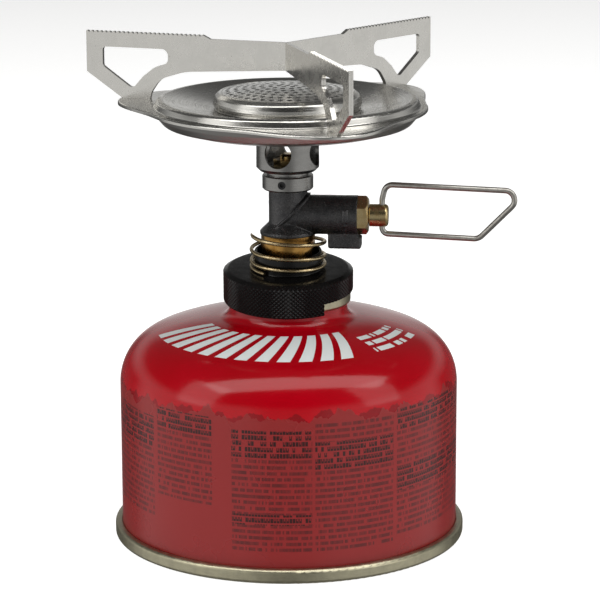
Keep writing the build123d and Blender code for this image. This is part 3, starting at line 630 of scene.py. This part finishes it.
def spring_line(turns):
    """Point on the middle of the spring's wire after a number of turns from its lower end."""
    level = COLLAR_PIVOT_Z + (COLLAR_SHELF - COLLAR_PIVOT_Z) / math.cos(COLLAR_TILT)
    angle = SPRING_FROM - TAU * turns
    lying = max(0.0, 1 - turns / SPRING_LYING)
    x, y = SPRING_R * math.cos(angle), SPRING_R * math.sin(angle) - SPRING_LEAN
    slope = y * math.tan(COLLAR_TILT) * lying
    rise = SPRING_RISE * turns ** SPRING_RISE_POWER
    return Vector((x, y, level + SPRING_WIRE_R + SPRING_GAP + slope + rise))


def wire_tube(line, radii, sides):
    """Closed tube along a list of points, with a radius at each one."""
    verts, faces = [], []
    for k, (at, radius) in enumerate(zip(line, radii)):
        forward = (line[min(k + 1, len(line) - 1)] - line[max(k - 1, 0)]).normalized()
        out = Vector((at.x, at.y, 0)).normalized()
        out = (out - forward * out.dot(forward)).normalized()
        up = forward.cross(out)
        for s in range(sides):
            a = TAU * s / sides
            verts.append((at + (out * math.cos(a) + up * math.sin(a)) * radius) * MM)
    for k in range(len(line) - 1):
        here, there = k * sides, (k + 1) * sides
        for s in range(sides):
            t = (s + 1) % sides
            faces.append((here + s, here + t, there + t, there + s))
    last = (len(line) - 1) * sides
    faces.append(tuple(range(sides))[::-1])
    faces.append(tuple(range(last, last + sides)))
    return verts, faces


def spring_mesh():
    turns = [SPRING_TURNS * i / SPRING_STEPS for i in range(SPRING_STEPS + 1)]
    line = [spring_line(t) for t in turns]
    line = [line[0] - (line[1] - line[0]) * CHAMFER_STEP] + line
    radii = [SPRING_WIRE_R * CHAMFER_SHARE]
    for t in turns:
        to_end = (SPRING_TURNS - t) * TAU * SPRING_R
        grown = min(1.0, to_end / POINT_LENGTH) ** POINT_POWER
        radii.append(SPRING_WIRE_R * (POINT_SHARE + (1 - POINT_SHARE) * grown))
    return wire_tube(line, radii, SPRING_SIDES)


spring = piece("collar_spring_wire", *spring_mesh(),
               "stove", "bronze_wire", M_BRONZE, ["collar_spring"], 50)
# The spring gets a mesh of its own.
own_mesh(spring)


# ---------------------------------------------------------------- valve body
CAST_VOXEL, CAST_SOFTENING, CAST_PASSES = 0.16, 0.5, 3
# The skin's bumps: their height, the size of their cells, and the seed.
CAST_BUMPS = ((0.030, 0.9, 11), (0.016, 0.35, 12))
LATTICE_PRIMES, LATTICE_TABLE = (73856093, 19349663, 83492791), 4096
# Raised marks on the branch: a small upright frame and three dots below it. Their heights are
# from the marks' middle, at MARKS_X and MARKS_Z. They are only where the normal's y is below
# FRONT_FACING, and above MARKS_ABOVE.
MARKS_X, MARKS_Z, MARKS_ABOVE, MARK_HEIGHT = 14.3, 83.3, 75.5, 0.2
FRONT_FACING = -0.2
FRAME_MIDDLE, FRAME_OUTER_HALF, FRAME_INNER_HALF = 0.5, (0.55, 1.6), (0.22, 1.25)
DOTS, DOT_R = (-2.0, -3.3, -4.6), 0.3


def lattice_noise(points, cell, seed):
    """Smooth random height between -1 and 1 at each point, from a seeded lattice."""
    table = np.random.default_rng(seed).uniform(-1, 1, LATTICE_TABLE)
    scaled = points / cell
    base = np.floor(scaled).astype(int)
    share = scaled - base
    share = share * share * (3 - 2 * share)
    total = np.zeros(len(points))
    for corner in np.ndindex(2, 2, 2):
        hashed = (base + np.array(corner)) * LATTICE_PRIMES
        key = (hashed[:, 0] ^ hashed[:, 1] ^ hashed[:, 2]) % LATTICE_TABLE
        weight = np.prod(np.where(np.array(corner), share, 1 - share), axis=1)
        total += weight * table[key]
    return total


def cast_marks(co, normal):
    """Height of the raised marks at each point, 0 outside them."""
    front = (normal[:, 1] < FRONT_FACING) & (co[:, 2] > MARKS_ABOVE)
    u, v = co[:, 0] - MARKS_X, co[:, 2] - MARKS_Z

    def upright(half):
        return (np.abs(u) < half[0]) & (np.abs(v - FRAME_MIDDLE) < half[1])

    marks = upright(FRAME_OUTER_HALF) & ~upright(FRAME_INNER_HALF)
    for dot in DOTS:
        marks |= u ** 2 + (v - dot) ** 2 < DOT_R ** 2
    return np.where(front & marks, MARK_HEIGHT, 0.0)


def cast_body():
    """Valve body with the soft corners and uneven skin of a casting, from the CAD solid."""
    obj = bpy.data.objects.new("valve_body_cast", cad["valve_body"].data.copy())
    scene.collection.objects.link(obj)
    for kind, settings in (
        ("WELD", {"merge_threshold": 1e-6}),
        ("REMESH", {"mode": "VOXEL", "voxel_size": CAST_VOXEL * MM, "adaptivity": 0.0}),
        ("SMOOTH", {"factor": CAST_SOFTENING, "iterations": CAST_PASSES}),
    ):
        modifier = obj.modifiers.new(kind.lower(), kind)
        for name, value in settings.items():
            setattr(modifier, name, value)
    evaluated = obj.evaluated_get(bpy.context.evaluated_depsgraph_get())
    mesh = bpy.data.meshes.new_from_object(evaluated)
    obj.modifiers.clear()
    obj.data = mesh
    co, normal = np.empty(len(mesh.vertices) * 3), np.empty(len(mesh.vertices) * 3)
    mesh.vertices.foreach_get("co", co)
    mesh.vertices.foreach_get("normal", normal)
    co, normal = co.reshape(-1, 3) / MM, normal.reshape(-1, 3)
    height = sum(size * lattice_noise(co, cell, seed) for size, cell, seed in CAST_BUMPS)
    height += cast_marks(co, normal)
    co += normal * height[:, None]
    mesh.vertices.foreach_set("co", (co * MM).ravel())
    mesh.update()
    mesh.materials.clear()
    mesh.materials.append(M_CASTING)
    mesh.shade_smooth()
    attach(obj, "stove")
    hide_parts("valve_body")


cast_body()


# ---------------------------------------------------------------- CAD nodes that stay
EDGE_ROUNDING, ROUNDING_SEGMENTS, ROUNDED_ABOVE = 0.09, 2, math.radians(35)
LOOKS = {
    "cartridge_base": M_TIN, "valve_cup": M_TIN, "cup_gasket": M_RUBBER,
    "cartridge_valve_housing": M_WHITE, "cartridge_valve_gasket": M_RUBBER,
    "cartridge_valve_stem": M_WHITE, "cartridge_valve_spring": M_STEEL,
    # The inlet nut, filter and depressor pin get the brass with painted shade and a painted red
    # reflection.
    "inlet_nut": M_BRASS_PAINTED_SHADE, "inlet_seal": M_RUBBER, "inlet_filter": M_BRASS_PAINTED_SHADE,
    "depressor_pin": M_BRASS_PAINTED_SHADE, "collar_clip": M_STEEL, "gland_nut": M_BRASS,
    "gland_packing": M_RUBBER, "valve_spindle": M_BRASS, "spindle_o_ring": M_RUBBER,
    "wire_handle": M_WIRE, "clamp_ring": M_TURNED, "set_screw": M_DARK,
    "mixing_tube": M_TURNED, "jet": M_BRASS_JET, "burner_bowl": M_BOWL, "burner_plate": M_SPUN,
    "burner_cap": M_SPUN, "flame_disc": M_DISC, "flame_mesh": M_DARK, "spreader": M_STEEL,
    "pot_support_left_front": M_SHEET, "pot_support_front_right": M_SHEET,
    "pot_support_right_left": M_SHEET,
}
for node, look in LOOKS.items():
    obj = cad[node]
    obj.data.materials.clear()
    obj.data.materials.append(look)
    if look in (M_SHEET, M_TURNED, M_BRASS):
        rounding = obj.modifiers.new("tumbled_edge", "BEVEL")
        rounding.width = EDGE_ROUNDING * MM
        rounding.segments = ROUNDING_SEGMENTS
        rounding.limit_method = "ANGLE"
        rounding.angle_limit = ROUNDED_ABOVE
        rounding.harden_normals = True


# ---------------------------------------------------------------- stage and lights, in metres
FLOOR_HALF_WIDTH, FLOOR_FRONT, FLOOR_BACK, FLOOR_Z = 6, -4, 8, -0.00005
FLOOR_COLOUR, GLOW_COLOUR = (0.86, 0.86, 0.855, 1.0), (1.0, 1.0, 1.0, 1.0)
# The floor glows evenly around the object, and less and less from GLOW_FULL_TO to GLOW_LEAST_FROM,
# which are in millimetres behind the object.
GLOW_FULL_TO, GLOW_LEAST_FROM, GLOW_FULL, GLOW_LEAST = 500.0, 1800.0, 0.76, 0.42
LIGHT_COLOUR, LIT_POINT = (1.0, 0.99, 0.97), Vector((0, 0, 0.08))


def floor():
    """Pale floor that leaves no reflection in the metal."""
    look, g = material("floor_white")
    _, behind, _, _, _ = g.place()
    glow = g.spread(behind, GLOW_FULL_TO, GLOW_LEAST_FROM, GLOW_FULL, GLOW_LEAST)
    surface(g, FLOOR_COLOUR, 0.7, emission_color=GLOW_COLOUR, emission_strength=glow)
    mesh = bpy.data.meshes.new("floor")
    corners = [(-FLOOR_HALF_WIDTH, FLOOR_FRONT, 0), (FLOOR_HALF_WIDTH, FLOOR_FRONT, 0),
               (FLOOR_HALF_WIDTH, FLOOR_BACK, 0), (-FLOOR_HALF_WIDTH, FLOOR_BACK, 0)]
    mesh.from_pydata(corners, [], [(0, 1, 2, 3)])
    mesh.materials.append(look)
    obj = bpy.data.objects.new("floor", mesh)
    scene.collection.objects.link(obj)
    obj.location.z = FLOOR_Z
    obj.visible_glossy = False


def softbox(name, size, at, power):
    """Rectangular light that faces the object."""
    light = bpy.data.lights.new(name, "AREA")
    light.shape = "RECTANGLE"
    light.size, light.size_y = size
    light.energy = power
    light.color = LIGHT_COLOUR
    obj = bpy.data.objects.new(name, light)
    scene.collection.objects.link(obj)
    obj.location = at
    obj.rotation_mode = "QUATERNION"
    obj.rotation_quaternion = (LIT_POINT - Vector(at)).to_track_quat("-Z", "Y")


floor()
softbox("light_top", (1.9, 0.42), (0.05, -0.30, 0.85), 7.5)
softbox("light_left", (0.6, 0.9), (-1.0, -0.45, 0.60), 2.6)
softbox("light_right", (0.6, 0.9), (1.0, -0.45, 0.60), 2.4)


# ---------------------------------------------------------------- surroundings
SKY_COLOUR, SKY_STRENGTH = (1.0, 1.0, 0.985, 1.0), 0.76
FRONT_DARKENING, CORNER_DARKENING = 0.6, 0.88


def surroundings():
    """What the metal reflects: pale and even at its own height, fainter above and below, and
    darker towards the camera and in the two corners behind the object."""
    world = bpy.data.worlds.new("studio")
    scene.world = world
    world.use_nodes = True
    g = Graph(world.node_tree)
    direction = g.node("ShaderNodeSeparateXYZ")
    g.feed(direction.inputs[0], g.node("ShaderNodeTexCoord").outputs["Generated"])
    sideways, behind, upward = direction.outputs
    aside = g.math("ABSOLUTE", sideways)
    corner = g.product(g.spread(aside, 0.10, 0.26), g.spread(behind, 0.35, 0.60),
                       g.spread(upward, 0.05, 0.30, 1.0, 0.0))
    front = g.product(g.spread(aside, 0.22, 0.48, 1.0, 0.0), g.spread(behind, -0.45, -0.70))
    level = g.product(
        g.spread(upward, -0.55, -0.30, 0.30, 1.0), g.spread(upward, 0.20, 0.36, 1.0, 0.12),
        g.without(g.product(front, FRONT_DARKENING)),
        g.without(g.product(corner, CORNER_DARKENING)))
    sky = g.node("ShaderNodeBackground")
    sky.inputs["Color"].default_value = SKY_COLOUR
    g.feed(sky.inputs["Strength"], g.product(level, SKY_STRENGTH))
    out = g.node("ShaderNodeOutputWorld")
    g.tree.links.new(sky.outputs[0], out.inputs["Surface"])


surroundings()


# ---------------------------------------------------------------- camera, in metres
CAMERA_AT = Vector((0.0, -0.708, 0.2329))
PITCH, YAW, ROLL = math.radians(13.66), math.radians(0.2407), math.radians(0.2)
SENSOR_MM, LENS_MM = 36, 171.36
CLIP_NEAR, CLIP_FAR = 0.01, 50

camera = bpy.data.objects.new("camera", bpy.data.cameras.new("camera"))
scene.collection.objects.link(camera)
ahead = math.cos(PITCH)
forward = Vector((math.sin(YAW) * ahead, math.cos(YAW) * ahead, -math.sin(PITCH)))
right = Vector((math.cos(YAW), -math.sin(YAW), 0))
up = right.cross(forward)
turned_right = right * math.cos(ROLL) - up * math.sin(ROLL)
turned_up = right * math.sin(ROLL) + up * math.cos(ROLL)
axes = Matrix((turned_right, turned_up, -forward)).transposed()
camera.matrix_world = Matrix.Translation(CAMERA_AT) @ axes.to_4x4()
camera.data.sensor_width = SENSOR_MM
camera.data.lens = LENS_MM
camera.data.clip_start, camera.data.clip_end = CLIP_NEAR, CLIP_FAR
scene.view_settings.view_transform = "Standard"
scene.view_settings.look = "None"
bpy.context.scene.camera = camera
